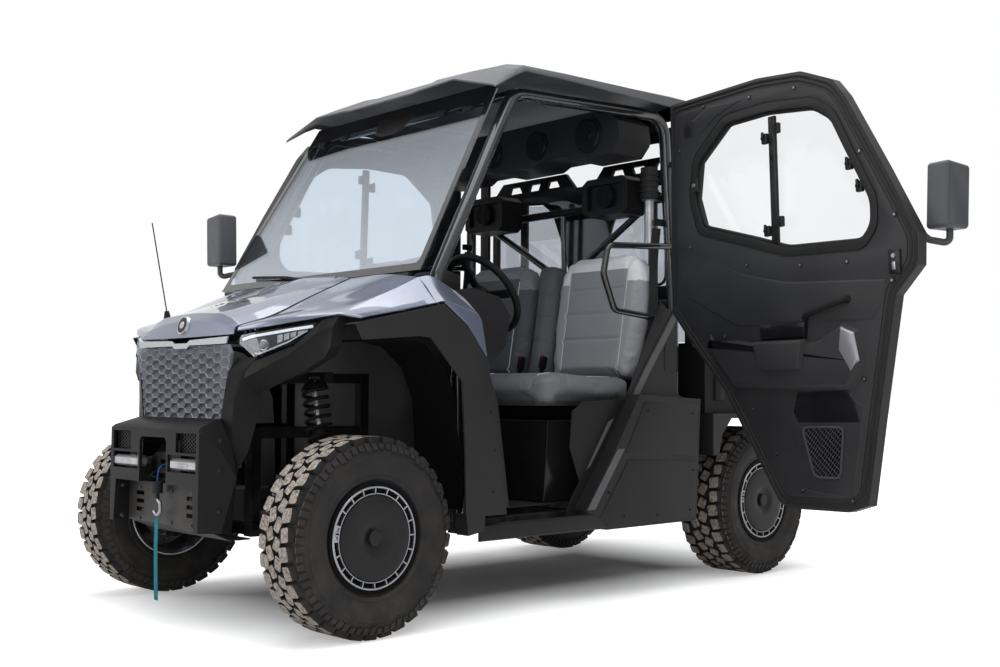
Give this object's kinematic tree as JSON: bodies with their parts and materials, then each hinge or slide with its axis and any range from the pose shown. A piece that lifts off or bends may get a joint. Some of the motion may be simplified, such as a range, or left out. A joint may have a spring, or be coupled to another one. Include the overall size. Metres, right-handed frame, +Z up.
{
  "type": "side-by-side utility vehicle",
  "caption": "Closed-cab side-by-side utility vehicle with a cargo bed, roll cage, winch and its left door standing open.",
  "frame": {"origin": "on the ground under the middle of the bounding box, left door open, without the winch line", "axes": "+Z up, -Y towards the nose, +X towards the vehicle's left side; the centre plane is at x = -0.610 m"},
  "size_m": [3.0242, 3.145, 2.178],
  "materials": {
    "tyre_rubber": "dark tyre rubber with dusty tread",
    "rim_paint": "gunmetal grey satin paint",
    "frame_paint": "black satin powder coat",
    "cast_metal": "grey cast metal, slightly rough",
    "skid_metal": "brownish grey satin metal plate",
    "tow_metal": "silver grey cast metal",
    "black_plastic": "grained black moulded plastic",
    "grille_plastic": "grey lilac grille panel",
    "silver_trim": "bright silver paint",
    "lamp_lens": "clear lamp lens over a dark bowl",
    "tail_lens": "red lamp lens",
    "body_paint": "metallic blue grey paint, clear coated",
    "flare_plastic": "dark charcoal moulded plastic",
    "tinted_glass": "smoke tinted safety glass",
    "cage_paint": "dark grey satin tube",
    "roof_plastic": "charcoal moulded roof",
    "door_plastic": "charcoal moulded door",
    "cab_plastic": "dark grey interior plastic",
    "seat_vinyl": "mid grey vinyl with pale piping",
    "blue_rope": "blue synthetic rope",
    "teal_webbing": "teal woven webbing",
    "hook_steel": "plated steel with a black rubber stopper"
  },
  "bodies": {
    "chassis": {"frame": "frame_paint", "rack_housing": "frame_paint", "hitch_receiver": "frame_paint", "suspension_arms": "frame_paint", "dampers": "frame_paint", "rear_hub_carriers": "cast_metal", "axle_drives": "cast_metal", "engine_block": "cast_metal", "muffler": "cast_metal", "skid_plates": "skid_metal", "front_bumper": "black_plastic", "winch": "black_plastic", "tow_hooks": "tow_metal", "grille": "grille_plastic", "front_fascia": "black_plastic", "silver_strip": "silver_trim", "headlamps": "lamp_lens", "front_fenders": "body_paint", "fender_flares": "flare_plastic", "wheel_liners": "black_plastic", "antenna": "black_plastic", "cage": "cage_paint", "roof": "roof_plastic", "windscreen": "tinted_glass", "rear_window": "tinted_glass", "rear_wall": "cab_plastic", "floor_pan": "cab_plastic", "seat_base": "cab_plastic", "seats": "seat_vinyl", "dashboard": "cab_plastic", "overhead_console": "cab_plastic", "side_sills": "door_plastic", "winch_rope": "blue_rope", "winch_hook": "hook_steel", "hook_strap": "teal_webbing"},
    "front_left_knuckle": {"front_left_knuckle": "cast_metal"},
    "front_right_knuckle": {"front_right_knuckle": "cast_metal"},
    "front_left_wheel": {"front_left_tyre": "tyre_rubber", "front_left_wheel": "rim_paint"},
    "front_right_wheel": {"front_right_tyre": "tyre_rubber", "front_right_wheel": "rim_paint"},
    "rear_left_wheel": {"rear_left_tyre": "tyre_rubber", "rear_left_wheel": "rim_paint"},
    "rear_right_wheel": {"rear_right_tyre": "tyre_rubber", "rear_right_wheel": "rim_paint"},
    "steering_wheel": {"steering_wheel": "black_plastic"},
    "steering_rack": {"steering_rack": "hook_steel"},
    "left_door": {"left_door": "door_plastic", "left_door_glass": "tinted_glass", "left_mirror": "black_plastic"},
    "right_door": {"right_door": "door_plastic", "right_door_glass": "tinted_glass", "right_mirror": "black_plastic"},
    "hood": {"hood": "body_paint"},
    "cargo_bed": {"rear_flares": "flare_plastic", "cargo_bed": "black_plastic", "tail_lamps": "tail_lens"},
    "tailgate": {"tailgate": "black_plastic"}
  },
  "joints": [
    {"name": "front_left_steer", "type": "hinge", "parent": "chassis", "child": "front_left_knuckle", "pos_m": [0, -1.162, 0.34], "axis": [0, 0, 1], "range_deg": [-25, 25]},
    {"name": "front_right_steer", "type": "hinge", "parent": "chassis", "child": "front_right_knuckle", "pos_m": [-1.22, -1.162, 0.34], "axis": [0, 0, 1], "range_deg": [-25, 25]},
    {"name": "front_left_roll", "type": "hinge", "parent": "front_left_knuckle", "child": "front_left_wheel", "pos_m": [0.078, -1.162, 0.34], "axis": [1, 0, 0], "continuous": true},
    {"name": "front_right_roll", "type": "hinge", "parent": "front_right_knuckle", "child": "front_right_wheel", "pos_m": [-1.298, -1.162, 0.34], "axis": [1, 0, 0], "continuous": true},
    {"name": "rear_left_roll", "type": "hinge", "parent": "chassis", "child": "rear_left_wheel", "pos_m": [0.015, 1.123, 0.34], "axis": [1, 0, 0], "continuous": true},
    {"name": "rear_right_roll", "type": "hinge", "parent": "chassis", "child": "rear_right_wheel", "pos_m": [-1.235, 1.123, 0.34], "axis": [1, 0, 0], "continuous": true},
    {"name": "steering_wheel_turn", "type": "hinge", "parent": "chassis", "child": "steering_wheel", "pos_m": [-0.25, -0.3, 1.236], "axis": [0, 0.8131, 0.5822], "range_deg": [-270.5, 270.5]},
    {"name": "rack_slide", "type": "slide", "parent": "chassis", "child": "steering_rack", "axis": [1, 0, 0], "range_m": [-0.052, 0.052]},
    {"name": "left_door_swing", "type": "hinge", "parent": "chassis", "child": "left_door", "pos_m": [0.136, 0.51, 1.2], "axis": [0, 0, 1], "range_deg": [-78, 0]},
    {"name": "right_door_swing", "type": "hinge", "parent": "chassis", "child": "right_door", "pos_m": [-1.356, 0.51, 1.2], "axis": [0, 0, -1], "range_deg": [0, 78]},
    {"name": "hood_lift", "type": "hinge", "parent": "chassis", "child": "hood", "pos_m": [-0.61, -0.93, 1.268], "axis": [-1, 0, 0], "range_deg": [0, 55]},
    {"name": "bed_dump", "type": "hinge", "parent": "chassis", "child": "cargo_bed", "pos_m": [-0.61, 1.398, 0.705], "axis": [-1, 0, 0], "range_deg": [0, 45]},
    {"name": "tailgate_drop", "type": "hinge", "parent": "cargo_bed", "child": "tailgate", "pos_m": [-0.61, 1.553, 0.772], "axis": [-1, 0, 0], "range_deg": [0, 90]}
  ],
  "couplings": [
    {"joint": "front_right_steer", "follows": "front_left_steer", "ratio": 1},
    {"joint": "steering_wheel_turn", "follows": "front_left_steer", "ratio": 10.8},
    {"joint": "rack_slide", "follows": "front_left_steer", "m_per_rad": -0.118}
  ]
}
